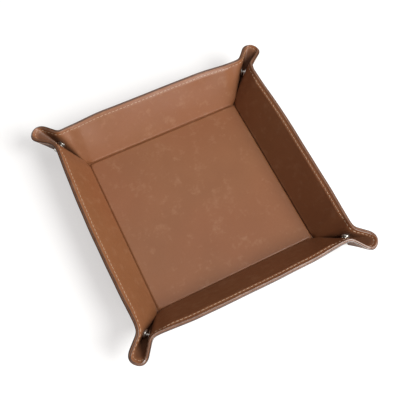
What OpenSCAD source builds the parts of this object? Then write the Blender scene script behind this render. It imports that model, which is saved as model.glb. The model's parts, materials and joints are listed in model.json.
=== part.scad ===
// Folding dice tray: two stitched leather sheets with stiffening boards between them.
// The sheet lies flat when open. Raising the four walls folds each corner into an ear,
// and a snap fastener through the ear holds it pinched.
// The origin is at the middle of the underside, with +Z up. The tray is drawn raised.

/* [Tray] */
// Distance between opposite fold lines of the base
base_side = 172; // [160:1:200]
// Length of a wall along its slope, from fold line to rim
wall_height = 48.5; // [46:0.5:54]
// Angle of a raised wall above the table
wall_angle = 60; // [59:0.5:61]
// Radius of the four corners of the leather sheet
corner_radius = 12; // [8:1:14]

/* [Leather and board] */
// Thickness of each of the two leather sheets
leather_t = 1.7; // [1.4:0.1:1.7]
// Thickness of the stiffening boards
board_t = 1.4; // [1:0.1:1.4]
// Distance from a board's edge to the fold line beside it
board_setback = 3.7; // [3.7:0.1:5]
// Distance from a wall board's end to the line of the neighbouring wall's fold
board_end_setback = 4.2; // [4.2:0.1:6]
// Distance from a wall board's upper edge to the rim
rim_margin = 6.5; // [6:0.5:8]

/* [Ears] */
// Angle at the corner between the end of a wall and the crease where its ear starts
ear_start_angle = 18; // [17.5:0.5:18.5]
// Half of the angle at the corner taken up by the strip that closes an ear
tip_half_angle = 7; // [6.5:0.5:7.5]

/* [Snap fasteners] */
// Distance from the base's corner to the centre of a snap, along the leather
snap_reach = 36; // [35.5:0.5:37]
// Radius of the domed cap
cap_r = 5.2; // [4.8:0.1:5.3]
// Height of the domed cap
cap_h = 1.5; // [1.2:0.1:1.8]
// Outer radius of the socket
socket_r = 4.3; // [4:0.1:4.4]
// Height of the socket above the leather
socket_h = 2.4; // [2.2:0.1:2.5]
// Radius of the socket's bore
socket_bore_r = 2.4; // [2.4:0.1:2.6]
// Radius of the stud's ball
ball_r = 1.7; // [1.6:0.05:1.75]
// Radius of the stud's flange
stud_r = 4.2; // [3.8:0.1:4.3]
// Radius of the posts that go through the leather
post_r = 1.6; // [1.4:0.1:1.7]

/* [Stitching] */
// Distance from the rim to the line of stitching
stitch_inset = 3.2; // [3:0.1:3.5]
// Length of one stitch
stitch_pitch = 4; // [3:0.5:5]
// Thickness of the thread
thread_t = 0.45; // [0.3:0.05:0.6]

/* [Hidden] */
$fn = 64;
WALLS = ["east", "north", "west", "south"];
CORNERS = ["ne", "nw", "sw", "se"];
WALL_LAYERS = ["board", "outer_leather", "inner_leather", "stitching"];
EAR_LAYERS = ["outer_leather", "inner_leather", "tip"];
SNAP_PARTS = ["snap_cap", "snap_socket", "snap_stud", "snap_eyelet"];
// Corner i lies between wall i and wall i + 1, so wall i ends at corner i and corner i - 1.
function corner_of(i, side) = CORNERS[side > 0 ? i : (i + 3) % 4];
function wall_node(i, layer) = str(WALLS[i], "_wall_", layer);
function ear_node(i, side, layer) = str(corner_of(i, side), "_ear_", WALLS[i], "_", layer);
function snap_node(i, part) = str(CORNERS[i], "_", part);

// All folds turn about lines in the upper face of the outer leather: heights h count from it.
half = base_side / 2;
sandwich_t = board_t + leather_t;
ear_angle = 45 - ear_start_angle - tip_half_angle;
tip_start_angle = ear_start_angle + ear_angle;
snap_angle = ear_start_angle + ear_angle / 2;

// The raised corner, as seen from the base's corner: +X crosses the wall's fold line and
// +Y runs along it. The crease where the ear starts lies in the wall. The crease where the
// tip starts keeps its angle to that one, and the tip's middle line stays in the plane
// midway between the two walls. Those three facts fix how far each crease is folded.
across = [1, -1, 0] / sqrt(2);
outward = [1, 1, 0] / sqrt(2);
ear_line = [cos(ear_start_angle) * cos(wall_angle), sin(ear_start_angle),
            cos(ear_start_angle) * sin(wall_angle)];
line_in_plane = norm([ear_line * outward, ear_line.z]);
line_rise = atan2(ear_line.z, ear_line * outward);
middle_cos = (cos(ear_angle) - sin(tip_half_angle) * (ear_line * across)) / cos(tip_half_angle);
tip_rise = line_rise - acos(middle_cos / line_in_plane);
tip_middle = cos(tip_rise) * outward + [0, 0, sin(tip_rise)];
tip_line = cos(tip_half_angle) * tip_middle + sin(tip_half_angle) * across;
wall_normal = [-sin(wall_angle), 0, cos(wall_angle)];
ear_normal = cross(ear_line, tip_line) / sin(ear_angle);
tip_normal = [0, 0, cos(tip_rise)] - sin(tip_rise) * outward;
ear_turn = -acos(wall_normal * ear_normal);
tip_turn = acos(ear_normal * tip_normal);

// Leather is cut back where a fold closes, so that the two sides meet with a little room.
room = 0.15;
base_cut = sandwich_t * tan(wall_angle / 2) + 0.2;
ear_cut = leather_t * tan(-ear_turn / 2) + room;
tip_cut = leather_t * tan(tip_turn / 2) + room;
open_gap = 0.1;
middle_gap = 0.3;
mitre_gap = 0.4;

// Where the snap's axis, square to the ear, meets the plane midway between the walls.
snap_flat = snap_reach * [cos(snap_angle), sin(snap_angle), 0];
snap_along = (snap_flat * [cos(ear_start_angle), sin(ear_start_angle), 0]) * ear_line;
snap_across = snap_reach * sin(snap_angle - ear_start_angle) * cross(ear_normal, ear_line);
snap_h = ((snap_along + snap_across) * across) / -(ear_normal * across);
ball_past_middle = 0.2;
stud_flange_h = 0.8;
socket_web_h = 0.5;
eyelet_r = 4.6;
eyelet_h = 0.8;
eyelet_hole_r = 1;

function dir(angle) = [cos(angle), sin(angle)];

// ---- places: each one draws its children in the flat sheet, at heights h ----

module on_base() {
    translate([0, 0, leather_t])
        children();
}

module on_wall(i) {
    rotate(90 * i)
        translate([half, 0, leather_t])
            rotate([0, -wall_angle, 0])
                children();
}

// Corner of wall i, with the neighbouring wall's fold line along its X axis.
module on_wall_end(i, side) {
    on_wall(i)
        if (side > 0)
            translate([0, half, 0])
                children();
        else
            mirror([0, 1, 0])
                translate([0, half, 0])
                    children();
}

module on_ear(i, side) {
    on_wall_end(i, side)
        rotate(a = ear_turn, v = [cos(ear_start_angle), sin(ear_start_angle), 0])
            children();
}

module on_tip(i, side) {
    on_ear(i, side)
        rotate(a = tip_turn, v = [cos(tip_start_angle), sin(tip_start_angle), 0])
            children();
}

// The east and west ears of each corner carry the caps and sockets.
module on_snap(i, side) {
    on_ear(i, side)
        translate(snap_flat)
            children();
}

module layer(bottom, thickness) {
    translate([0, 0, bottom])
        linear_extrude(thickness)
            children();
}

// ---- outlines in the flat sheet ----

function crease_y(x, gap) = x * tan(ear_start_angle) - gap / cos(ear_start_angle);
function mitre_y(x, h) = x * cos(wall_angle) - h * sin(wall_angle) - mitre_gap;
function mitre_end_x(h, gap) =
    (h * sin(wall_angle) + mitre_gap - gap / cos(ear_start_angle))
    / (cos(wall_angle) - tan(ear_start_angle));

// One end of a wall panel: it keeps clear of the neighbouring wall near the corner, up to
// height h, and follows the ear's crease further up.
function wall_end(fold_gap, crease_gap, h) =
    let (x = mitre_end_x(h, crease_gap))
    concat(
        [[fold_gap, half + min(mitre_y(fold_gap, h), crease_y(fold_gap, crease_gap))]],
        x > fold_gap ? [[x, half + crease_y(x, crease_gap)]] : [],
        [[wall_height, half + crease_y(wall_height, crease_gap)]]
    );

module wall_outline(fold_gap, crease_gap, h) {
    end = wall_end(fold_gap, crease_gap, h);
    last = len(end) - 1;
    polygon(concat(end, [for (k = [last:-1:0]) [end[k].x, -end[k].y]]));
}

module board_outline(grow) {
    length = base_side - 2 * board_end_setback + 2 * grow;
    translate([board_setback - grow, -length / 2])
        square([wall_height - board_setback - rim_margin + 2 * grow, length]);
}

// The rounded corner of the leather sheet, from the base's corner outwards.
module sheet_corner() {
    straight = wall_height - corner_radius;
    square([wall_height, straight]);
    square([straight, wall_height]);
    translate([straight, straight])
        circle(corner_radius);
}

// The part of the sheet's corner between two lines from the base's corner, kept back from
// each of them by a gap.
module wedge(start, end, start_gap, end_gap) {
    point = (end_gap * dir(start) + start_gap * dir(end)) / sin(end - start);
    reach = 2 * wall_height;
    intersection() {
        sheet_corner();
        polygon([point, point + reach * dir(start), point + reach * dir(end)]);
    }
}

// ---- base ----

module base_square(setback, bottom, thickness) {
    side = base_side - 2 * setback;
    translate([-side / 2, -side / 2, bottom])
        cube([side, side, thickness]);
}

module base_board() {
    color("tan")
        on_base()
            base_square(board_setback, 0, board_t);
}

module base_outer_leather() {
    color("saddlebrown")
        on_base()
            base_square(open_gap, -leather_t, leather_t);
}

module base_inner_leather() {
    color("sienna")
        on_base()
            difference() {
                base_square(base_cut, 0, sandwich_t);
                base_square(board_setback, -1, 1 + board_t);
            }
}

// ---- walls ----

module wall_board(i) {
    color("tan")
        on_wall(i)
            layer(0, board_t)
                board_outline(0);
}

module wall_outer_leather(i) {
    color("saddlebrown")
        on_wall(i)
            layer(-leather_t, leather_t)
                wall_outline(open_gap, ear_cut, 0);
}

// The inner leather steps down past the board's edges to meet the outer leather.
module wall_inner_leather(i) {
    color("sienna")
        on_wall(i)
            difference() {
                union() {
                    layer(0, leather_t)
                        wall_outline(base_cut, open_gap, leather_t);
                    layer(0, sandwich_t)
                        intersection() {
                            wall_outline(base_cut, open_gap, sandwich_t);
                            board_outline(leather_t);
                        }
                }
                layer(-1, 1 + board_t)
                    board_outline(0);
            }
}

// One thread: a run on each face of the leather, and a pass through it at every hole.
module wall_stitching(i) {
    x = wall_height - stitch_inset - thread_t / 2;
    run = half + crease_y(x, stitch_inset);
    holes = floor(run / stitch_pitch);
    length = 2 * holes * stitch_pitch + thread_t;
    color("wheat")
        on_wall(i)
            union() {
                for (h = [-leather_t - thread_t, leather_t])
                    translate([x, -length / 2, h])
                        cube([thread_t, length, thread_t]);
                for (k = [-holes:holes])
                    translate([x, k * stitch_pitch - thread_t / 2, -leather_t - thread_t])
                        cube([thread_t, thread_t, 2 * (leather_t + thread_t)]);
            }
}

// ---- ears ----

module snap_hole() {
    translate([snap_flat.x, snap_flat.y, -2 * leather_t])
        cylinder(r = post_r + 0.05, h = 4 * leather_t);
}

module ear_outer_leather(i, side) {
    color("saddlebrown")
        on_ear(i, side)
            difference() {
                layer(-leather_t, leather_t)
                    wedge(ear_start_angle, tip_start_angle, ear_cut, open_gap);
                snap_hole();
            }
}

// The inner leathers of a corner's two ears would meet near the base, so they start where
// the ears are far enough apart.
module ear_inner_leather(i, side) {
    need = mitre_gap - leather_t * (ear_normal * across);
    color("sienna")
        on_ear(i, side)
            difference() {
                layer(0, leather_t)
                    difference() {
                        wedge(ear_start_angle, tip_start_angle, open_gap, tip_cut);
                        polygon([
                            [0, 0],
                            need / (ear_line * across) * dir(ear_start_angle),
                            need / (tip_line * across) * dir(tip_start_angle)
                        ]);
                    }
                snap_hole();
            }
}

// Half of the strip that closes the ear, with both leathers. The halves meet at the middle.
module ear_tip(i, side) {
    color("peru")
        on_tip(i, side) {
            layer(-leather_t, leather_t)
                wedge(tip_start_angle, 45, open_gap, middle_gap);
            layer(0, leather_t)
                wedge(tip_start_angle, 45, tip_cut, middle_gap);
        }
}

// ---- snap fasteners ----

// A shallow dome of radius r and height h, standing down from h = 0.
module dome(r, h) {
    ball = (r * r + h * h) / (2 * h);
    intersection() {
        translate([0, 0, ball - h])
            sphere(ball, $fn = 96);
        translate([0, 0, -h - 1])
            cylinder(r = r, h = h + 1);
    }
}

module snap_cap(i, side) {
    edge_h = 0.4;
    color("silver")
        on_snap(i, side)
            translate([0, 0, -leather_t])
                union() {
                    translate([0, 0, -edge_h])
                        cylinder(r = cap_r, h = edge_h);
                    translate([0, 0, -edge_h])
                        dome(cap_r, cap_h - edge_h);
                    cylinder(r = post_r, h = 2 * leather_t + socket_web_h);
                }
}

module snap_socket(i, side) {
    color("gainsboro")
        on_snap(i, side)
            translate([0, 0, leather_t])
                difference() {
                    union() {
                        cylinder(r = socket_r, h = socket_h - 1);
                        cylinder(r = socket_bore_r + 1.2, h = socket_h);
                    }
                    translate([0, 0, socket_web_h])
                        cylinder(r = socket_bore_r, h = socket_h);
                    translate([0, 0, -1])
                        cylinder(r = post_r + 0.05, h = 2);
                }
}

module snap_stud(i, side) {
    ball_h = snap_h + ball_past_middle - leather_t;
    color("gainsboro")
        on_snap(i, side)
            translate([0, 0, leather_t])
                difference() {
                    union() {
                        cylinder(r = stud_r, h = stud_flange_h);
                        cylinder(r = ball_r - 0.3, h = ball_h);
                        translate([0, 0, ball_h])
                            sphere(ball_r);
                    }
                    translate([0, 0, -1])
                        cylinder(r = eyelet_hole_r, h = 1 + stud_flange_h);
                }
}

module snap_eyelet(i, side) {
    color("silver")
        on_snap(i, side)
            translate([0, 0, -leather_t])
                difference() {
                    union() {
                        dome(eyelet_r, eyelet_h);
                        cylinder(r = post_r, h = 2 * leather_t);
                    }
                    translate([0, 0, -2])
                        cylinder(r = eyelet_hole_r, h = 2 + 3 * leather_t);
                }
}

// ---- the nodes ----

base_board();
base_outer_leather();
base_inner_leather();
for (i = [0:3]) {
    wall_board(i);
    wall_outer_leather(i);
    wall_inner_leather(i);
    wall_stitching(i);
}
for (i = [0:3]) for (side = [1, -1]) {
    ear_outer_leather(i, side);
    ear_inner_leather(i, side);
    ear_tip(i, side);
}
// East and west walls carry the caps and sockets, north and south walls the studs and eyelets.
for (i = [0:3]) {
    socket_wall = i % 2 == 0 ? i : (i + 1) % 4;
    socket_side = i % 2 == 0 ? 1 : -1;
    stud_wall = i % 2 == 0 ? i + 1 : i;
    snap_cap(socket_wall, socket_side);
    snap_socket(socket_wall, socket_side);
    snap_stud(stud_wall, -socket_side);
    snap_eyelet(stud_wall, -socket_side);
}
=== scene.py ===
"""A folding dice tray: leather skins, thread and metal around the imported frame.

The tray is two leather sheets with boards between them. Each sheet is shaped from its flat
pattern: a point has flat coordinates and a height, and raise_sheet() carries it to its place
in the raised tray. Lengths are in metres.
"""
import json
import math

import bmesh
import bpy
import numpy as np
from mathutils import Matrix, Vector


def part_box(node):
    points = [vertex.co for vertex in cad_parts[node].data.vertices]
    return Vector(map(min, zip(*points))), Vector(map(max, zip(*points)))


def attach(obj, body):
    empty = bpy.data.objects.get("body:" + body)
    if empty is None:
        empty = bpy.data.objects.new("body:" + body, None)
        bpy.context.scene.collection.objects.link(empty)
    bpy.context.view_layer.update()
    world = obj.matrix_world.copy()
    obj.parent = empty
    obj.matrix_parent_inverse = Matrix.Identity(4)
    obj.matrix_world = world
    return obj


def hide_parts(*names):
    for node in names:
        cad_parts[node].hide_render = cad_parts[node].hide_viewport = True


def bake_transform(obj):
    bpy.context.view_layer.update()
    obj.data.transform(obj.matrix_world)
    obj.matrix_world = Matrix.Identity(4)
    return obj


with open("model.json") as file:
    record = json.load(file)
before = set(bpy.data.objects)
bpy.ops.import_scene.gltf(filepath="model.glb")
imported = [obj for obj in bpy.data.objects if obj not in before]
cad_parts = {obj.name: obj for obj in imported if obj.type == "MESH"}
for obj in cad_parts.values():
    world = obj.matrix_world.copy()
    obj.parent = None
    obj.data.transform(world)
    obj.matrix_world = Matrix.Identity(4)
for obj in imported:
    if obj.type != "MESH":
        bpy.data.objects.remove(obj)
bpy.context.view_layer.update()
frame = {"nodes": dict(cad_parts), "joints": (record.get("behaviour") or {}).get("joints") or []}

MM = 0.001

# ---- the frame's own dimensions ----

JOINTS = {joint["name"]: joint for joint in frame["joints"]}
WALLS = ["east", "north", "west", "south"]
CORNERS = ["ne", "nw", "sw", "se"]

HALF = JOINTS["east_wall_fold"]["pos_m"][0]
HINGE_Z = JOINTS["east_wall_fold"]["pos_m"][2]
LEATHER = HINGE_Z
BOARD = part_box("base_board")[1].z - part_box("base_board")[0].z
BASE_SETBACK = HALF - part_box("base_board")[1].x
BOARD_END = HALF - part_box("east_wall_board")[1].y

EAR_LINE = np.array(JOINTS["ne_ear_east_fold"]["axis"])
TIP_LINE = -np.array(JOINTS["ne_tip_east_fold"]["axis"])
WALL_ANGLE = math.atan2(EAR_LINE[2], EAR_LINE[0])
EAR_START = math.asin(EAR_LINE[1])
TIP_START = EAR_START + math.acos(EAR_LINE @ TIP_LINE)
MIDDLE = math.radians(45)
TIP_HALF = MIDDLE - TIP_START
HEIGHT = (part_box("east_wall_outer_leather")[1].z - HINGE_Z) / math.sin(WALL_ANGLE)
BOARD_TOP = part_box("east_wall_board")[1].z - HINGE_Z - BOARD * math.cos(WALL_ANGLE)
RIM_MARGIN = HEIGHT - BOARD_TOP / math.sin(WALL_ANGLE)

# ---- dimensions that the frame does not give ----

CORNER_RADIUS = 12 * MM
STRAIGHT = HEIGHT - CORNER_RADIUS
STITCH_INSET = 3.2 * MM
# Stitches along half a wall, and from a wall's end to the middle of a corner.
WALL_STITCHES = 21
CORNER_STITCHES = 11


def unit(vector):
    return np.array(vector, float) / np.linalg.norm(vector)


# Directions at the raised north-east corner, on its east side.
UP = np.array([0.0, 0.0, 1.0])
ACROSS = unit([1, -1, 0])
WALL_UP = np.array([math.cos(WALL_ANGLE), 0, math.sin(WALL_ANGLE)])
WALL_NORMAL = np.array([-math.sin(WALL_ANGLE), 0, math.cos(WALL_ANGLE)])
EAR_NORMAL = unit(np.cross(EAR_LINE, TIP_LINE))
TIP_MIDDLE = unit(TIP_LINE - math.sin(TIP_HALF) * ACROSS)
TIP_NORMAL = np.cross(ACROSS, TIP_MIDDLE)

# How far each fold's bend reaches to either side of its line. The folds meet at the corner, so
# there a bend is narrower: its reach is at most this share of the distance from the corner.
FOLD_REACH = 2.2 * MM
EAR_REACH = 5.5 * MM
TIP_REACH = 7.5 * MM
FOLD_SPREAD = 0.35
EAR_SPREAD = math.sin(math.radians(10))
TIP_SPREAD = math.sin(TIP_HALF)


# ---- smooth steps and bends ----

def smooth(t):
    t = np.clip(t, 0, 1)
    return t * t * (3 - 2 * t)


def smooth_sum(t):
    """The area under smooth() from 0 to t."""
    inside = np.clip(t, 0, 1)
    return inside ** 3 - inside ** 4 / 2 + np.maximum(t - 1, 0)


def step(value, start, width):
    """From 0 at start to 1 a width further on.

    The pairs called RUN or TURN below are a start and a width, along the sheet or by angle.
    """
    return smooth((value - start) / width)


def corner_name(wall, side):
    return CORNERS[wall if side > 0 else (wall + 3) % 4]


def place_in_tray(points, wall, side):
    """Points counted from a corner's east half, moved to a wall's end in the tray."""
    points = np.asarray(points, float)
    x = HALF + points[..., 0]
    y = side * (HALF + points[..., 1])
    z = HINGE_Z + points[..., 2]
    for _ in range(wall):
        x, y = -y, x
    return np.stack([x, y, z], -1)


def flat_place(u, v, wall, side):
    """Where a flat point lies in the opened sheet."""
    x, y = HALF + u, side * (HALF + v)
    for _ in range(wall):
        x, y = -y, x
    return x, y


NO_REACH = 0.001 * MM


def bend(axis, before, after, along, across, height, reach):
    """A sheet bent about a line: it leaves along `before` and goes on along `after`."""
    reach = np.maximum(reach, NO_REACH)
    t = across / (2 * reach) + 0.5
    turned = smooth(t)[..., None]
    gone = (2 * reach * smooth_sum(t))[..., None]
    place = along[..., None] * axis + across[..., None] * before + (after - before) * gone
    normal = np.cross(np.broadcast_to(axis, place.shape), before + (after - before) * turned)
    normal /= np.linalg.norm(normal, axis=-1, keepdims=True)
    return place + height[..., None] * normal


def raise_corner(u, v, height):
    """Flat points of the corner's east half, carried to the raised corner.

    u counts outwards from the east fold line, v northwards from the corner, and height from
    the upper face of the outer leather. The answer counts from the corner.
    """
    u, v, height = np.broadcast_arrays(u, v, height)
    radius = np.hypot(u, v)
    angle = np.arctan2(v, u)

    def polar(line):
        return radius * np.cos(angle - line), radius * np.sin(angle - line)

    along, across = polar(EAR_START)
    ear = bend(EAR_LINE, np.cross(WALL_NORMAL, EAR_LINE), np.cross(EAR_NORMAL, EAR_LINE),
               along, across, height, np.minimum(EAR_REACH, EAR_SPREAD * radius))
    along, across = polar(TIP_START)
    tip = bend(TIP_LINE, np.cross(EAR_NORMAL, TIP_LINE), np.cross(TIP_NORMAL, TIP_LINE),
               along, across, height, np.minimum(TIP_REACH, TIP_SPREAD * radius))
    wall = bend(np.array([0.0, -1.0, 0.0]), np.array([1.0, 0.0, 0.0]), WALL_UP,
                -v, u, height, np.minimum(FOLD_REACH, FOLD_SPREAD * radius))
    on_wall = ((v <= 0) | (u <= 0))[..., None]
    past_ear = (angle > (EAR_START + TIP_START) / 2)[..., None]
    place = np.where(on_wall, wall, np.where(past_ear, tip, ear))
    inward = np.minimum(place @ ACROSS, 0)
    return place - inward[..., None] * ACROSS


# How far each ear's end leans sideways, is drawn out and droops. A positive lean is to the
# right, seen from above the tray's middle with the ear ahead.
EAR_LEAN = {"ne": 0.9 * MM, "nw": 0.9 * MM, "sw": -0.9 * MM, "se": -1.0 * MM}
EAR_STRETCH = 1.9 * MM
EAR_DROOP = 0.9 * MM
# Where those grow: by angle from the wall's end, and by distance from the corner.
EAR_TURN = (math.radians(8), math.radians(28))
EAR_RUN = (28 * MM, 30 * MM)
# How far the leather is stretched up the middle of each wall. A larger bow would do the same
# for the raised outline, but would sink into the table when the tray lies open.
STRETCH = {"east": 0.0, "north": 1.8 * MM, "west": 0.0, "south": 0.4 * MM}
STRETCH_RUN = (0, 38 * MM)


def raise_sheet(u, v, height, wall, side):
    """Flat points at a wall's end, carried to their place in the raised tray."""
    stretch = STRETCH[WALLS[wall]] * np.clip(u / HEIGHT, 0, 1) * step(-v, *STRETCH_RUN)
    place = raise_corner(u, v, height) + stretch[..., None] * WALL_UP
    radius = np.hypot(u, v)
    end = step(radius, *EAR_RUN) * step(np.arctan2(v, u), *EAR_TURN) * (v > 0)
    lean = side * EAR_LEAN[corner_name(wall, side)] * ACROSS
    move = lean + EAR_STRETCH * TIP_MIDDLE - EAR_DROOP * UP
    return place_in_tray(place + end[..., None] * move, wall, side)


# ---- the flat pattern ----

def rim_radius(angle, inset):
    """Distance from the corner to a line that keeps `inset` inside the sheet's edge."""
    straight = (HEIGHT - inset) / np.cos(angle)
    round_off = np.sqrt(np.maximum(
        (CORNER_RADIUS - inset) ** 2 - 2 * (STRAIGHT * np.sin(MIDDLE - angle)) ** 2, 0))
    rounded = STRAIGHT * (np.cos(angle) + np.sin(angle)) + round_off
    return np.where(straight * np.sin(angle) <= STRAIGHT, straight, rounded)


def path_point(length, inset=STITCH_INSET):
    """Flat point at a length along the line of stitching, counted from the corner's line."""
    turn = np.maximum(length - STRAIGHT, 0) / (CORNER_RADIUS - STITCH_INSET)
    u = STRAIGHT + (CORNER_RADIUS - inset) * np.cos(turn)
    v = np.minimum(length, STRAIGHT) + (CORNER_RADIUS - inset) * np.sin(turn)
    return u, v


CORNER_PATH = STRAIGHT + (CORNER_RADIUS - STITCH_INSET) * MIDDLE
WALL_PITCH = HALF / WALL_STITCHES
CORNER_PITCH = CORNER_PATH / CORNER_STITCHES


def stitch_phase(u, v):
    """Stitches counted along the path, so that whole numbers are the needle's holes."""
    corner = STRAIGHT + (CORNER_RADIUS - STITCH_INSET) * np.arctan2(v - STRAIGHT, u - STRAIGHT)
    length = np.where(v > STRAIGHT, corner, v)
    return np.where(length < 0, length / WALL_PITCH, length / CORNER_PITCH)


def edge_distance(u, v):
    """Distance from a flat point to the sheet's edge."""
    corner = CORNER_RADIUS - np.hypot(np.maximum(u - STRAIGHT, 0), np.maximum(v - STRAIGHT, 0))
    return np.where((u > STRAIGHT) & (v > STRAIGHT), corner, HEIGHT - np.maximum(u, v))


BOARD_SLOPE = 2.0 * MM


def board_height(u, v, fold, end, top):
    """How far the boards lift a face of the leather.

    Each of fold, end and top says where the rise starts and how wide it is: from a fold
    line, from the line of the neighbouring wall's fold, and from the rim.
    """
    on_base = step(-u, *fold) * step(-v, *fold)
    on_wall = step(u, *fold) * step(HEIGHT - u, *top) * step(-v, *end)
    return BOARD * np.where(u < 0, on_base, on_wall)


def under_leather(u, v):
    """The inner leather's hidden face lies tight on the boards."""
    return board_height(
        u, v,
        fold=(BASE_SETBACK - BOARD_SLOPE, BOARD_SLOPE),
        end=(BOARD_END - BOARD_SLOPE, BOARD_SLOPE),
        top=(RIM_MARGIN - BOARD_SLOPE, BOARD_SLOPE),
    )


def over_leather(u, v):
    """Its shown face is drawn tight from the fold's groove to the rim's stitching."""
    return board_height(
        u, v,
        fold=(0.6 * MM, 2.8 * MM),
        end=(-6 * MM, 13 * MM),
        top=(1.2 * MM, 3.2 * MM),
    )


# How far each wall bows outwards, and how far its two ends are drawn inwards: first the end
# at the corner that the wall shares with the next one.
BOW = {"east": 0.5 * MM, "north": 2.3 * MM, "west": 0.9 * MM, "south": 2.2 * MM}
DRAWN_ENDS = {
    "east": (3.4 * MM, 0.5 * MM),
    "north": (-1.9 * MM, 0.1 * MM),
    "west": (0.9 * MM, 2.2 * MM),
    "south": (0.2 * MM, 0.2 * MM),
}
BOW_RUN = (-8 * MM, 38 * MM)
DRAWN_RUN = (0, 62 * MM)
# The ears: how far the snap pinches their necks, how far their ends open, and where each
# happens, by distance from the corner. EAR_START_RUN is where the wall's own shape gives way
# to the ear's, past the wall's end.
NECK_PINCH = 0.7 * MM
NECK_RUN = (6 * MM, 16 * MM)
MOUTH_OPENING = 1.3 * MM
MOUTH_RUN = (40 * MM, 19 * MM)
EAR_START_RUN = (5 * MM, 14 * MM)
# The margin outside the stitching curls outwards, by half as much round the ears.
CURL = 0.35 * MM
CURL_WIDTH = STITCH_INSET + 0.4 * MM
CURL_RUN = (-4 * MM, 14 * MM)


def pull(u, v, wall, side):
    """How far the raised leather leaves its flat faces, inwards, for all of its layers."""
    radius = np.hypot(u, v)
    up_wall = np.clip(u / HEIGHT, 0, 1)
    bow = BOW[WALLS[wall]] * up_wall * step(-v, *BOW_RUN)
    drawn = DRAWN_ENDS[WALLS[wall]][0 if side > 0 else 1]
    end = drawn * up_wall * (1 - step(-v, *DRAWN_RUN))
    pinch = NECK_PINCH * step(radius, *NECK_RUN) - MOUTH_OPENING * step(radius, *MOUTH_RUN)
    curl = CURL * np.clip(1 - edge_distance(u, v) / CURL_WIDTH, 0, 1) ** 2
    curl *= 1 - 0.5 * step(v, *CURL_RUN)
    return end - bow + (pinch - end) * step(v, *EAR_START_RUN) - curl


SNAP_REACH = 36 * MM
SNAP_ANGLE = (EAR_START + TIP_START) / 2
SNAP_U = SNAP_REACH * math.cos(SNAP_ANGLE)
SNAP_V = SNAP_REACH * math.sin(SNAP_ANGLE)
PRESSED = 0.3 * MM
PRESSED_RADIUS = 6.3 * MM


def pressed(u, v):
    """How much thinner the leather is pressed where a snap grips it."""
    return PRESSED * np.exp(-(np.hypot(u - SNAP_U, v - SNAP_V) / PRESSED_RADIUS) ** 6)


EDGE_ROUND = 0.5 * MM
INSIDE_ROUND = 0.35 * MM


def rounded_drop(edge, radius):
    """How far a rounded edge falls below its face, by distance from the edge."""
    gone = np.clip(radius - edge, 0, radius)
    return radius - np.sqrt(radius ** 2 - gone ** 2)


# Waves in the leather: size, radians for each metre along x and y, and start. They are low
# near the folds and grow towards the rim.
WAVE_HEIGHT = 0.10 * MM
WAVE_LOW = 0.4
WAVE_RUN = (30 * MM, 15 * MM)
WAVES = [(1.0, 71, 23, 1.3), (1.0, -37, 64, 0.4), (0.7, 118, -95, 2.1), (0.5, 61, 173, 0.0)]


def hand_made(x, y):
    """The slight waviness of the leather, by flat place in the whole sheet."""
    return WAVE_HEIGHT * sum(size * np.sin(a * x + b * y + start) for size, a, b, start in WAVES)


# The leather along a fold: it swells by FOLD_SWELL on the line itself, and a little again at
# LIP_PLACE up the wall. Near a corner of the base it is skived thinner.
FOLD_SWELL = 0.4 * MM
SWELL_ON_WALL = 1.7 * MM
SWELL_ON_BASE = 1.0 * MM
LIP = 0.22 * MM
LIP_PLACE = 2.9 * MM
LIP_WIDTH = 0.8 * MM
SKIVED_SHARE = 0.35
SKIVED_RADIUS = 7 * MM
# The groove that the thread pulls, all along its line and deeper at the needle's holes.
GROOVE = 0.16 * MM
HOLE = 0.14 * MM
GROOVE_WIDTH = 0.75 * MM
# The hidden faces keep clear of the boards and of one another.
CLEARANCE = 0.02 * MM
THINNEST = 0.25 * MM
# The underside of the base is dead flat from this far inside its folds.
ON_TABLE = 6 * MM


def skin_heights(u, v, wall, side, skin):
    """Heights of the shown face and the hidden face of a raised skin."""
    x, y = flat_place(u, v, wall, side)
    moved = pull(u, v, wall, side)
    return [h + moved for h in flat_heights(u, v, x, y, skin)]


def across_folds(u, v):
    """Distance past the nearest fold line, negative on the base. On the ears it counts from
    the corner.
    """
    return np.where(v > 0, np.hypot(u, v), np.maximum(u, v))


def fold_swell(u, v):
    """How much thicker the inner leather is in and beside its folds."""
    across = across_folds(u, v)
    reach = np.where(across > 0, SWELL_ON_WALL, SWELL_ON_BASE)
    lip = LIP * np.exp(-((across - LIP_PLACE) / LIP_WIDTH) ** 2)
    return FOLD_SWELL * np.exp(-(across / reach) ** 2) + lip


def flat_heights(u, v, x, y, skin):
    """Heights of the shown face and the hidden face of a skin, by its thickness alone."""
    edge = edge_distance(u, v)
    radius = np.hypot(u, v)
    loose = hand_made(x, y) * (WAVE_LOW + step(np.maximum(u, v), *WAVE_RUN))
    skived = SKIVED_SHARE + (1 - SKIVED_SHARE) * step(radius, 0, SKIVED_RADIUS)
    groove = np.exp(-((edge - STITCH_INSET) / GROOVE_WIDTH) ** 2)
    groove = groove * (GROOVE + HOLE * np.cos(2 * math.pi * stitch_phase(u, v)) ** 2)
    sunk = groove + pressed(u, v) + rounded_drop(edge, EDGE_ROUND)
    inside = rounded_drop(edge, INSIDE_ROUND)
    if skin == "inner":
        thickness = LEATHER + fold_swell(u, v) + over_leather(u, v)
        shown = thickness * skived - sunk + loose
        hidden = under_leather(u, v) + CLEARANCE + inside + np.minimum(loose, 0)
        return shown, np.minimum(hidden, shown - THINNEST)
    shown = -LEATHER + sunk + loose
    on_table = step(-np.maximum(u, v), 0, ON_TABLE)
    shown = np.where(np.maximum(u, v) < 0, np.maximum(shown, -LEATHER), shown)
    shown = shown * (1 - on_table) - LEATHER * on_table
    hidden = -CLEARANCE - inside + np.minimum(loose, 0) * (1 - on_table)
    return shown, hidden


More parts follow.
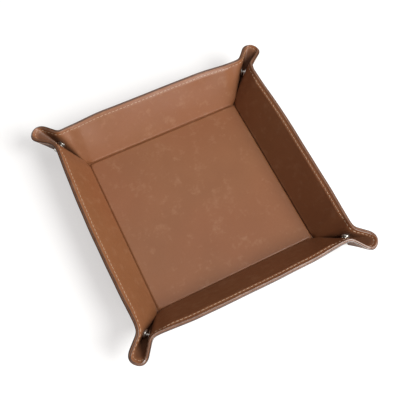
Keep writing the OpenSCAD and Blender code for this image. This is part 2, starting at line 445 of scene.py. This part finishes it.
# Shade painted into the folds and the inside of the ears: how dark, from 0 to 1, and where.
FOLD_DARK = 0.22
FOLD_DARK_WIDTH = 1.5 * MM
EAR_DARK = 0.72
EAR_DARK_TURN = (math.radians(11), math.radians(14))
EAR_DARK_RUN = (1.5 * MM, 7 * MM)


def crease(u, v):
    """Shade painted on the inner leather, from 0 to 1: in the folds and inside the ears."""
    fold = FOLD_DARK * np.exp(-(across_folds(u, v) / FOLD_DARK_WIDTH) ** 2)
    inside = step(np.arctan2(v, u), *EAR_DARK_TURN) * (v > 0)
    return np.maximum(fold, EAR_DARK * inside * step(edge_distance(u, v), *EAR_DARK_RUN))


# ---- meshes ----

def grid_faces(rows, columns, offset, flip):
    """Faces between neighbouring points of a grid, whose first point has index `offset`."""
    first = (np.arange(rows - 1)[:, None] * columns + np.arange(columns - 1)).ravel() + offset
    faces = np.stack([first, first + columns, first + columns + 1, first + 1], -1)
    return faces[:, ::-1] if flip else faces


def border(rows, columns):
    """Indices round a grid, in order, and whether each step runs along its last row."""
    index = np.arange(rows * columns).reshape(rows, columns)
    loop = np.concatenate([index[0, :-1], index[:-1, -1], index[-1, :0:-1], index[:0:-1, 0]])
    on_rim = np.zeros(len(loop), bool)
    start = columns - 1 + rows - 1
    on_rim[start:start + columns - 1] = True
    return loop, on_rim


SAME_POINT = 0.001 * MM
SHARP_ANGLE = math.radians(50)


def make_object(name, points, faces, materials, edge_faces=(), flip=False, shade=None):
    """A mesh object. The faces in edge_faces get the second material."""
    mesh = bpy.data.meshes.new(name)
    mesh.from_pydata(points.tolist(), [], [list(map(int, f)) for f in faces])
    if shade is not None:
        # The shade is a painted shade mask for the leather, kept on the points.
        mesh.attributes.new("crease", "FLOAT", "POINT").data.foreach_set("value", shade)
    mesh.polygons.foreach_set("use_smooth", [True] * len(mesh.polygons))
    for material in materials:
        mesh.materials.append(material)
    slots = np.zeros(len(mesh.polygons), np.int32)
    slots[list(edge_faces)] = 1
    mesh.polygons.foreach_set("material_index", slots)
    work = bmesh.new()
    work.from_mesh(mesh)
    bmesh.ops.remove_doubles(work, verts=work.verts, dist=SAME_POINT)
    bmesh.ops.dissolve_degenerate(work, edges=work.edges, dist=0.1 * SAME_POINT)
    if flip:
        bmesh.ops.reverse_faces(work, faces=work.faces)
    for edge in work.edges:
        if len(edge.link_faces) == 2 and edge.calc_face_angle(0) > SHARP_ANGLE:
            edge.smooth = False
    work.to_mesh(mesh)
    work.free()
    thing = bpy.data.objects.new(name, mesh)
    bpy.context.scene.collection.objects.link(thing)
    return thing


# How many rows of faces next to the rim are burnished with the cut edge.
EDGE_ROWS = 5


def shell(name, shown, hidden, skin, materials, flip=False, edge_rows=True, shade=None):
    """A closed sheet between its shown face and its hidden face."""
    rows, columns = shown.shape[:2]
    upward = skin == "inner"
    count = rows * columns
    points = np.concatenate([shown.reshape(-1, 3), hidden.reshape(-1, 3)])
    top = grid_faces(rows, columns, 0, flip=not upward)
    burnished = range(len(top) - EDGE_ROWS * (columns - 1), len(top)) if edge_rows else ()
    bottom = grid_faces(rows, columns, count, flip=upward)
    loop, on_rim = border(rows, columns)
    after = np.roll(loop, -1)
    side = np.stack([loop, after, after + count, loop + count], -1)
    if upward:
        side = side[:, ::-1]
    faces = np.concatenate([top, bottom, side])
    edge_faces = [*burnished, *(len(top) + len(bottom) + np.nonzero(on_rim)[0])]
    if shade is not None:
        shade = np.concatenate([np.ravel(shade)] * 2).astype(np.float32)
    return make_object(name, points, faces, materials, edge_faces, flip, shade)


def steps(start, end, size):
    """Even steps from start to end, none longer than size."""
    return np.linspace(start, end, int(math.ceil((end - start) / size - 1e-9)) + 1)


def join_steps(*parts):
    return np.unique(np.round(np.concatenate(parts), 9))


# Rows of points from a fold line out to the rim, and in over the base. They lie close
# together at the fold, from the stitching on, and round the edge.
RIM_ZONE = 10 * MM
FOLD_ZONE = 6 * MM
FOLD_ROW = 0.45 * MM
WALL_ROW = 2.6 * MM
RIM_ROW = 0.5 * MM
ROUNDING = 1 - np.sin(np.linspace(0, math.pi / 2, 8))
OUT_ROWS = join_steps(
    steps(0, FOLD_ZONE, FOLD_ROW),
    steps(FOLD_ZONE, HEIGHT - RIM_ZONE, WALL_ROW),
    steps(HEIGHT - RIM_ZONE, HEIGHT - 1.1 * EDGE_ROUND, RIM_ROW),
    HEIGHT - EDGE_ROUND * ROUNDING,
)
IN_ROWS = steps(-FOLD_ZONE, 0, FOLD_ROW)[:-1]


def corner_grid(angles):
    """Flat points between the fold lines' corner and the rim, one column for each angle."""
    zone = rim_radius(angles, RIM_ZONE)
    inner = OUT_ROWS[:, None] / (HEIGHT - RIM_ZONE) * zone
    near_rim = rim_radius(angles[None, :], np.minimum(HEIGHT - OUT_ROWS, RIM_ZONE)[:, None])
    radius = np.where(OUT_ROWS[:, None] < HEIGHT - RIM_ZONE, inner, near_rim)
    return radius * np.cos(angles), radius * np.sin(angles)


def wall_grid():
    """Flat points of half a wall: v is counted from the corner, and u from the fold line."""
    rows = np.concatenate([IN_ROWS, OUT_ROWS])[:, None]
    share = np.linspace(0, 1, 2 * WALL_STITCHES + 1)[None, :]
    width = HALF + np.minimum(rows, 0)
    return np.broadcast_to(rows, (len(rows), share.shape[1])), share * width - HALF


def skin_surfaces(u, v, wall, side, skin):
    """The shown and the hidden face of a raised skin, as grids of points."""
    heights = skin_heights(u, v, wall, side, skin)
    return [raise_sheet(u, v, h, wall, side) for h in heights]


# Columns of points round half a corner: four for each stitch. The ear's piece and the tip's
# piece share the column nearest to 29.5 degrees.
CORNER_COLUMNS = 4
COLUMN_POINTS = path_point(np.linspace(0, CORNER_PATH, CORNER_COLUMNS * CORNER_STITCHES + 1))
COLUMN_ANGLES = np.arctan2(COLUMN_POINTS[1], COLUMN_POINTS[0])
JOIN_COLUMN = np.argmin(np.abs(COLUMN_ANGLES - math.radians(29.5)))
EAR_JOIN = COLUMN_ANGLES[JOIN_COLUMN]
EAR_ANGLES = COLUMN_ANGLES[:JOIN_COLUMN + 1]
TIP_ANGLES = COLUMN_ANGLES[JOIN_COLUMN:]


# ---- pieces baked in place ----


def bend_with(piece):
    """Bakes a piece's place into its mesh, where it stays."""
    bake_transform(piece)


# ---- materials ----

class Nodes:
    """A short way to build a material's nodes."""

    def __init__(self, name):
        self.material = bpy.data.materials.new(name)
        self.material.use_nodes = True
        self.tree = self.material.node_tree
        self.shader = self.tree.nodes["Principled BSDF"]

    def add(self, kind, sockets=(), **values):
        node = self.tree.nodes.new(kind)
        for key, value in values.items():
            setattr(node, key, value)
        for key, value in dict(sockets).items():
            if isinstance(value, bpy.types.NodeSocket):
                self.tree.links.new(value, node.inputs[key])
            else:
                node.inputs[key].default_value = value
        return node

    def place(self):
        return self.add("ShaderNodeTexCoord").outputs["Object"]

    def noise(self, where, scale, detail=3.0, roughness=0.5):
        return self.add("ShaderNodeTexNoise", {
            "Vector": where, "Scale": scale, "Detail": detail, "Roughness": roughness,
        }).outputs["Fac"]

    def ramp(self, value, *stops):
        node = self.add("ShaderNodeValToRGB", {"Fac": value})
        elements = node.color_ramp.elements
        while len(elements) < len(stops):
            elements.new(0.5)
        for element, (position, color) in zip(elements, stops):
            element.position = position
            element.color = (*color, 1) if hasattr(color, "__len__") else (*[color] * 3, 1)
        return node.outputs["Color"]

    def mix(self, factor, a, b):
        node = self.add("ShaderNodeMix", data_type="RGBA")
        colors = [s for s in node.inputs if s.type == "RGBA"]
        for socket, value in zip([node.inputs["Factor"], *colors], [factor, a, b]):
            if isinstance(value, bpy.types.NodeSocket):
                self.tree.links.new(value, socket)
            else:
                socket.default_value = value if socket.type == "VALUE" else (*value, 1)
        return next(s for s in node.outputs if s.type == "RGBA")

    def bump(self, height, distance, strength=1.0, normal=None):
        sockets = {"Height": height, "Distance": distance, "Strength": strength}
        if normal is not None:
            sockets["Normal"] = normal
        return self.add("ShaderNodeBump", sockets).outputs["Normal"]

    def finish(self, **sockets):
        for key, value in sockets.items():
            socket = self.shader.inputs[key.replace("_", " ")]
            if isinstance(value, bpy.types.NodeSocket):
                self.tree.links.new(value, socket)
            else:
                socket.default_value = value
        return self.material


def shaded(color, *shares):
    """A colour with each of its channels multiplied by its own share."""
    return [share * part for share, part in zip(shares, color)]


def leather(name, dark, middle, light):
    """Smooth pull-up leather: cloudy tan, fine pores, faint lighter scuffs, and shade painted
    into its folds and ears.
    """
    n = Nodes(name)
    where = n.place()
    cloud = n.noise(where, scale=22.0, detail=4.0, roughness=0.55)
    tone = n.ramp(cloud, (0.1, dark), (0.5, middle), (0.95, light))
    redder = n.noise(where, scale=11.0, detail=2.0, roughness=0.4)
    tone = n.mix(n.ramp(redder, (0.42, 0.0), (0.62, 0.4)), tone, [middle[0], *dark[1:]])
    scuff = n.noise(where, scale=95.0, detail=6.0, roughness=0.68)
    tone = n.mix(n.ramp(scuff, (0.54, 0.0), (0.70, 0.6)), tone, shaded(light, 1.12, 1.26, 1.5))
    fleck = n.noise(where, scale=420.0, detail=3.0, roughness=0.6)
    tone = n.mix(n.ramp(fleck, (0.35, 0.22), (0.6, 0.0)), tone, dark)
    # Painted shade: the folds and the inside of the ears are darkened, and made rougher, by the
    # shade mask on the points.
    painted_shade = n.add("ShaderNodeAttribute", attribute_name="crease").outputs["Fac"]
    tone = n.mix(painted_shade, tone, shaded(dark, 0.36, 0.30, 0.20))

    pores = n.add("ShaderNodeTexVoronoi", {"Vector": where, "Scale": 1150.0}).outputs[0]
    grain = n.noise(where, scale=900.0, detail=4.0, roughness=0.65)
    soft = n.noise(where, scale=60.0, detail=3.0, roughness=0.5)
    surface = n.bump(soft, 0.6 * MM, 0.35)
    surface = n.bump(grain, 0.18 * MM, 0.55, surface)
    surface = n.bump(n.ramp(pores, (0.0, 0.0), (0.35, 1.0)), 0.10 * MM, 0.5, surface)

    gloss = n.noise(where, scale=180.0, detail=4.0, roughness=0.6)
    rough = n.mix(painted_shade, n.ramp(gloss, (0.3, 0.40), (0.7, 0.56)), (0.9, 0.9, 0.9))
    return n.finish(Base_Color=tone, Roughness=rough, Normal=surface, Specular_IOR_Level=0.34,
                    Coat_Weight=0.14, Coat_Roughness=0.26)


def cut_edge(name, dark, light):
    """The burnished edge of the sheet: fibres along it, with lighter and darker runs."""
    n = Nodes(name)
    where = n.place()
    fibre = n.noise(where, scale=1400.0, detail=5.0, roughness=0.7)
    run = n.noise(where, scale=90.0, detail=3.0, roughness=0.5)
    tone = n.ramp(run, (0.35, dark), (0.65, light))
    tone = n.mix(n.ramp(fibre, (0.35, 0.5), (0.6, 0.0)), tone, shaded(dark, 0.5, 0.5, 0.5))
    return n.finish(Base_Color=tone, Roughness=0.36, Normal=n.bump(fibre, 0.1 * MM, 0.5),
                    Specular_IOR_Level=0.6)


def waxed_thread(name, dark, light):
    """Twisted thread with a dull wax."""
    n = Nodes(name)
    strand = n.noise(n.place(), scale=2600.0, detail=2.0, roughness=0.5)
    tone = n.ramp(strand, (0.35, dark), (0.65, light))
    return n.finish(Base_Color=tone, Roughness=0.6, Normal=n.bump(strand, 0.2 * MM, 0.8))


def nickel(name, color, rough):
    """Plated metal with faint scuffs that make it rougher."""
    n = Nodes(name)
    where = n.place()
    scuff = n.noise(where, scale=700.0, detail=4.0, roughness=0.6)
    cloud = n.noise(where, scale=260.0, detail=3.0, roughness=0.5)
    tone = n.ramp(cloud, (0.3, shaded(color, 0.82, 0.82, 0.82)), (0.7, color))
    return n.finish(Base_Color=tone, Metallic=1.0,
                    Roughness=n.ramp(scuff, (0.3, rough), (0.75, rough + 0.16)),
                    Normal=n.bump(scuff, 0.03 * MM, 0.4))


def fibre_board(name, dark, light):
    """Grey-brown pressed board."""
    n = Nodes(name)
    fibre = n.noise(n.place(), scale=1500.0, detail=5.0, roughness=0.7)
    tone = n.ramp(fibre, (0.3, dark), (0.7, light))
    return n.finish(Base_Color=tone, Roughness=0.85, Normal=n.bump(fibre, 0.2 * MM, 0.6))


INNER = leather("inner_leather", dark=(0.178, 0.067, 0.026), middle=(0.203, 0.081, 0.033),
                light=(0.232, 0.099, 0.043))
OUTER = leather("outer_leather", dark=(0.150, 0.058, 0.023), middle=(0.176, 0.071, 0.029),
                light=(0.205, 0.087, 0.038))
INNER_EDGE = cut_edge("inner_cut_edge", dark=(0.110, 0.051, 0.029), light=(0.175, 0.088, 0.052))
OUTER_EDGE = cut_edge("outer_cut_edge", dark=(0.036, 0.016, 0.010), light=(0.066, 0.030, 0.018))
THREAD = waxed_thread("waxed_thread", dark=(0.32, 0.20, 0.125), light=(0.50, 0.35, 0.24))
# The socket and the stud sit in the gap between the ears: their nickel is painted darker, as
# shade, and is also rougher.
SNAP_BRIGHT = nickel("snap_nickel", (0.78, 0.76, 0.71), rough=0.18)
SNAP_SHADED = nickel("snap_socket_nickel", (0.70, 0.68, 0.64), rough=0.26)
FIBRE = fibre_board("fibre_board", dark=(0.24, 0.20, 0.15), light=(0.42, 0.36, 0.27))


# ---- leather pieces ----

SKINS = {"inner": [INNER, INNER_EDGE], "outer": [OUTER, OUTER_EDGE]}


def add_base(skin):
    """The middle of the sheet, up to where the walls' pieces take over inside the folds."""
    columns = 2 * WALL_STITCHES
    line = np.arange(-columns, columns + 1) * (HALF - FOLD_ZONE) / columns
    x, y = np.meshgrid(line, line, indexing="ij")
    u, v = np.abs(x) - HALF, np.abs(y) - HALF
    surfaces = [np.stack([x, y, HINGE_Z + h], -1) for h in flat_heights(u, v, x, y, skin)]
    piece = shell(f"base_{skin}_skin", *surfaces, skin, SKINS[skin],
                  edge_rows=False, shade=crease(u, v))
    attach(piece, "base")
    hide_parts(f"base_{skin}_leather")


def add_wall(wall, skin):
    """A wall of the sheet, with the bend to the base."""
    u, v = wall_grid()
    half_a = skin_surfaces(u, v, wall, -1, skin)
    half_b = skin_surfaces(u, v, wall, 1, skin)
    whole = [np.concatenate([a[:, ::-1], b[:, 1:]], 1) for a, b in zip(half_a, half_b)]
    half = crease(u, v)
    shade = np.concatenate([half[:, ::-1], half[:, 1:]], 1)
    piece = shell(f"{WALLS[wall]}_wall_{skin}_skin", *whole, skin, SKINS[skin], shade=shade)
    bend_with(piece)
    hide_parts(f"{WALLS[wall]}_wall_{skin}_leather")


def add_corner_piece(part, wall, side, skin):
    """Half an ear of the sheet: its "ear" part next to the wall, or its "tip" part beyond.

    The CAD has one node for both skins of a tip, and the inner skin replaces it.
    """
    u, v = corner_grid(EAR_ANGLES if part == "ear" else TIP_ANGLES)
    surfaces = skin_surfaces(u, v, wall, side, skin)
    name = f"{corner_name(wall, side)}_{part}_{WALLS[wall]}_{skin}_skin"
    piece = shell(name, *surfaces, skin, SKINS[skin], side < 0, shade=crease(u, v))
    bend_with(piece)
    ear = f"{corner_name(wall, side)}_ear_{WALLS[wall]}"
    if part == "ear":
        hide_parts(f"{ear}_{skin}_leather")
    elif skin == "inner":
        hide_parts(f"{ear}_tip")


BOARD_ROWS = 12
BOARD_COLUMNS = 20


def add_wall_board(wall):
    """The board inside a wall, bowed with the leather round it."""
    rows = np.linspace(BASE_SETBACK, HEIGHT - RIM_MARGIN, BOARD_ROWS)[:, None]
    columns = np.linspace(-HALF, -BOARD_END, BOARD_COLUMNS)[None, :]
    halves = []
    for side in (-1, 1):
        bowed = pull(rows, columns, wall, side)
        place = [raise_sheet(rows, columns, h + bowed, wall, side) for h in (BOARD, 0)]
        halves.append(place)
    whole = [np.concatenate([a[:, ::-1], b[:, 1:]], 1) for a, b in zip(*halves)]
    piece = shell(f"{WALLS[wall]}_wall_stiffener", *whole, "inner", [FIBRE, FIBRE])
    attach(piece, f"{WALLS[wall]}_wall")
    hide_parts(f"{WALLS[wall]}_wall_board")


# ---- snap fasteners ----

SNAP_MIDDLE = raise_corner(SNAP_U, SNAP_V, 0.0)
SNAP_PINCH = float(pull(SNAP_U, SNAP_V, WALLS.index("east"), 1))
# Outlines are in millimetres. Their heights count as the leather's do: here are its two
# pressed faces and the plane midway between the two ears.
FACE = (LEATHER + SNAP_PINCH - PRESSED) / MM
BACK = (-LEATHER + SNAP_PINCH + PRESSED) / MM
MIDDLE_PLANE = (SNAP_MIDDLE @ ACROSS) / -(EAR_NORMAL @ ACROSS) / MM


def arc(center, radius, start, end, count=8):
    """Points along an arc, with angles in degrees."""
    turns = np.radians(np.linspace(start, end, count))
    return [(center[0] + radius * math.cos(t), center[1] + radius * math.sin(t)) for t in turns]


def lathe(outline, wall, side, around=48):
    """A closed outline of (radius, height) points turned about the snap's axis.

    The answer is what make_object() needs: points, faces, and whether they are mirrored.
    """
    outline = np.array(outline) * MM
    turn = np.arange(around) * 2 * math.pi / around
    radial = np.cross(EAR_NORMAL, EAR_LINE)
    ring = np.cos(turn)[:, None] * EAR_LINE + np.sin(turn)[:, None] * radial
    points = (SNAP_MIDDLE + outline[:, None, 1:] * EAR_NORMAL
              + outline[:, None, :1] * ring[None]).reshape(-1, 3)
    index = np.arange(len(outline) * around).reshape(len(outline), around)
    after = np.roll(index, -1, 1)
    nearer = np.roll(index, -1, 0)
    faces = np.stack([index, after, np.roll(nearer, -1, 1), nearer], -1).reshape(-1, 4)
    return place_in_tray(points, wall, side), faces, side < 0


def cap_outline():
    """A domed cap on the outside of the ear, whose post goes through the leather."""
    radius, post = 4.4, 1.6
    dome = arc((0, BACK + 12.7), 13.9, 270, 290.5, 10)
    rim = arc((radius + 0.35, BACK - 0.4), 0.42, 300, 430, 8)
    return [*dome, *rim, (radius, BACK - 0.02), (post, BACK), (post, FACE + 0.3), (0, FACE + 0.3)]


def socket_outline():
    """A cup on the inside of the ear, with a rolled lip that grips the stud."""
    hole, mouth, radius = 1.7, 2.4, 4.3
    top = LEATHER / MM + 2.3
    foot = arc((radius - 0.3, FACE + 0.3), 0.3, -90, 0, 4)
    shoulder = arc((radius - 0.35, top - 0.75), 0.35, 0, 90, 5)
    lip = arc((mouth + 0.65, top - 0.4), 0.4, 0, 180, 9)
    return [(hole, FACE), *foot, *shoulder, (3.5, top - 0.42), *lip,
            (mouth, top - 0.8), (mouth, FACE + 0.4), (hole, FACE + 0.4)]


def stud_outline():
    """A ball on a flange. The ball reaches the plane midway between the ears."""
    ball_radius, neck, hole = 1.7, 1.4, 1.0
    ball = MIDDLE_PLANE + 0.2
    flange = arc((3.85, FACE + 0.36), 0.34, -90, 90, 7)
    top = arc((0, ball), ball_radius, -35, 90, 10)
    return [(hole, FACE), *flange, (neck + 0.5, FACE + 0.8), (neck, FACE + 1.0), *top,
            (0, ball - 1.0), (hole, ball - 1.1)]


def eyelet_outline():
    """A ring on the outside of the ear, whose rolled mouth holds the stud's flange."""
    tube, hole = 1.6, 1.05
    roll = arc((4.15, BACK - 0.28), 0.36, 300, 430, 7)
    mouth = arc((hole + 0.6, BACK - 0.25), 0.6, 180, 275, 6)
    return [*mouth, (3.1, BACK - 0.76), *roll, (tube, BACK), (tube, FACE), (hole, FACE)]


def add_snap(corner):
    """Caps and sockets are on the east and west ears, studs and eyelets on the others."""
    walls = [(corner, 1), ((corner + 1) % 4, -1)]
    for wall, side in walls:
        outlines = {"cap": cap_outline(), "socket": socket_outline()}
        if wall % 2:
            outlines = {"stud": stud_outline(), "eyelet": eyelet_outline()}
        for part, outline in outlines.items():
            # The socket and the stud take the darker nickel: painted shade for the gap between
            # the ears.
            material = SNAP_SHADED if part in ("socket", "stud") else SNAP_BRIGHT
            points, faces, flip = lathe(outline, wall, side)
            name = f"{CORNERS[corner]}_{part}_turned"
            piece = make_object(name, points, faces, [material], flip=flip)
            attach(piece, f"{CORNERS[corner]}_ear_{WALLS[wall]}")
            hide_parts(f"{CORNERS[corner]}_snap_{part}")


# ---- stitching ----

THREAD_RADIUS = 0.29 * MM
STITCH_RINGS = 9
STITCH_SIDES = 8
# The part of a stitch's length that stays clear at either of its holes.
HOLE_MARGIN = 0.11


def stitch(start, end, wall, side, skin):
    """One stitch between two holes: rings of points along it, and the faces round it."""
    t = np.linspace(0, 1, STITCH_RINGS)
    margin = HOLE_MARGIN * (end - start)
    length = (start + margin + (end - start - 2 * margin) * t)[:, None]
    turn = (np.arange(STITCH_SIDES) * 2 * math.pi / STITCH_SIDES)[None, :]
    fat = np.sin(math.pi * np.clip(0.06 + 0.88 * t, 0, 1))[:, None] ** 0.45
    inset = STITCH_INSET + THREAD_RADIUS * fat * np.cos(turn)
    u, v = path_point(length, inset)
    middle_u, middle_v = path_point(length + 0 * turn)
    surface = skin_heights(middle_u, middle_v, wall, side, skin)[0]
    arch = np.sin(math.pi * t)[:, None] ** 0.6
    lift = THREAD_RADIUS * (1.15 * arch - 0.75)
    away = 1 if skin == "inner" else -1
    height = surface + away * lift + THREAD_RADIUS * fat * np.sin(turn)
    points = raise_sheet(u, v, height, wall, side).reshape(-1, 3)
    index = np.arange(STITCH_RINGS * STITCH_SIDES).reshape(STITCH_RINGS, STITCH_SIDES)
    after = np.roll(index, -1, 1)
    faces = np.stack([index[:-1], index[1:], after[1:], after[:-1]], -1).reshape(-1, 4)
    if side < 0:
        faces = faces[:, ::-1]
    caps = [index[0].tolist()[::-side], index[-1].tolist()[::side]]
    return points, faces.tolist() + caps


def add_thread(name, stitches, nodes=()):
    """One piece made of many stitches."""
    points, faces, count = [], [], 0
    for stitch_points, stitch_faces in stitches:
        points.append(stitch_points)
        faces += [[i + count for i in face] for face in stitch_faces]
        count += len(stitch_points)
    piece = make_object(name, np.concatenate(points), faces, [THREAD])
    if nodes:
        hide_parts(*nodes)
    return piece


def add_stitching(wall):
    """The stitches on both faces of a wall and of its halves of the two ears."""
    name = WALLS[wall]
    on_wall = [stitch(-WALL_PITCH * (k + 1), -WALL_PITCH * k, wall, side, skin)
               for side in (1, -1) for skin in SKINS for k in range(WALL_STITCHES)]
    piece = add_thread(f"{name}_wall_thread", on_wall, [f"{name}_wall_stitching"])
    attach(piece, f"{name}_wall")
    for side in (1, -1):
        for part in ("ear", "tip"):
            some = []
            for k in range(CORNER_STITCHES):
                u, v = path_point(CORNER_PITCH * (k + 0.5))
                if (math.atan2(v, u) < EAR_JOIN) == (part == "ear"):
                    some += [stitch(CORNER_PITCH * k, CORNER_PITCH * (k + 1), wall, side, skin)
                             for skin in SKINS]
            piece = add_thread(f"{corner_name(wall, side)}_{part}_{name}_thread", some)
            bend_with(piece)


for skin in SKINS:
    add_base(skin)
    for wall in range(4):
        add_wall(wall, skin)
        for side in (1, -1):
            add_corner_piece("ear", wall, side, skin)
            add_corner_piece("tip", wall, side, skin)
for wall in range(4):
    add_stitching(wall)
    add_wall_board(wall)
    add_snap(wall)


# ---- CAD nodes that stay ----

def finish_node(name, material):
    mesh = frame["nodes"][name].data
    mesh.materials.clear()
    mesh.materials.append(material)


finish_node("base_board", FIBRE)


# ---- floor, light and camera ----

def add_stage():
    """A plain pale floor, a little brighter than the light on it would make it."""
    n = Nodes("pale_floor")
    n.finish(Base_Color=(0.45, 0.45, 0.45, 1), Roughness=0.9,
             Emission_Color=(1.0, 1.0, 1.0, 1), Emission_Strength=0.52)
    size = 4.0
    mesh = bpy.data.meshes.new("floor")
    corners = [(-size, -size, 0), (size, -size, 0), (size, size, 0), (-size, size, 0)]
    mesh.from_pydata(corners, [], [(0, 1, 2, 3)])
    mesh.materials.append(n.material)
    floor = bpy.data.objects.new("floor", mesh)
    bpy.context.scene.collection.objects.link(floor)


def add_light(name, place, size, power, color=(1, 1, 1)):
    """A round soft light that faces the tray's middle."""
    data = bpy.data.lights.new(name, "AREA")
    data.shape = "DISK"
    data.size = size
    data.energy = power
    data.color = color
    light = bpy.data.objects.new(name, data)
    bpy.context.scene.collection.objects.link(light)
    light.location = place
    towards = Vector((0, 0, 20 * MM)) - Vector(place)
    light.rotation_euler = towards.to_track_quat("-Z", "Y").to_euler()


def add_lights():
    world = bpy.data.worlds.new("studio")
    world.use_nodes = True
    sky = world.node_tree.nodes["Background"].inputs
    sky["Color"].default_value = (1, 0.84, 0.78, 1)
    sky["Strength"].default_value = 0.20
    bpy.context.scene.world = world
    bpy.context.scene.view_settings.view_transform = "Standard"
    add_light("key", (0.95, -1.08, 1.6), size=1.2, power=63.0, color=(1.0, 1.0, 0.98))
    add_light("south_card", (0.25, -1.15, 0.38), size=0.6, power=5.0)
    add_light("top", (0.02, 0.25, 1.35), size=1.0, power=3.6)


# The camera looks down at the tray from the south-west, turned a little about its own axis.
CAMERA_TARGET = np.array([0.0023, 0.0004, 0])
CAMERA_DISTANCE = 0.6118
CAMERA_DIRECTION = math.radians(-121.41)
CAMERA_ELEVATION = math.radians(67.70)
CAMERA_ROLL = math.radians(5.41)
CAMERA_LENS = 53.73


def add_camera():
    level = math.cos(CAMERA_ELEVATION)
    back = np.array([level * math.cos(CAMERA_DIRECTION), level * math.sin(CAMERA_DIRECTION),
                     math.sin(CAMERA_ELEVATION)])
    level_right = unit(np.cross(UP, back))
    level_up = np.cross(back, level_right)
    right = math.cos(CAMERA_ROLL) * level_right + math.sin(CAMERA_ROLL) * level_up
    data = bpy.data.cameras.new("camera")
    data.sensor_width = 36
    data.lens = CAMERA_LENS
    camera = bpy.data.objects.new("camera", data)
    bpy.context.scene.collection.objects.link(camera)
    turn = Matrix((right, np.cross(back, right), back)).transposed().to_4x4()
    place = CAMERA_TARGET + CAMERA_DISTANCE * back
    camera.matrix_world = Matrix.Translation(place) @ turn
    bpy.context.scene.camera = camera


add_stage()
add_lights()
add_camera()
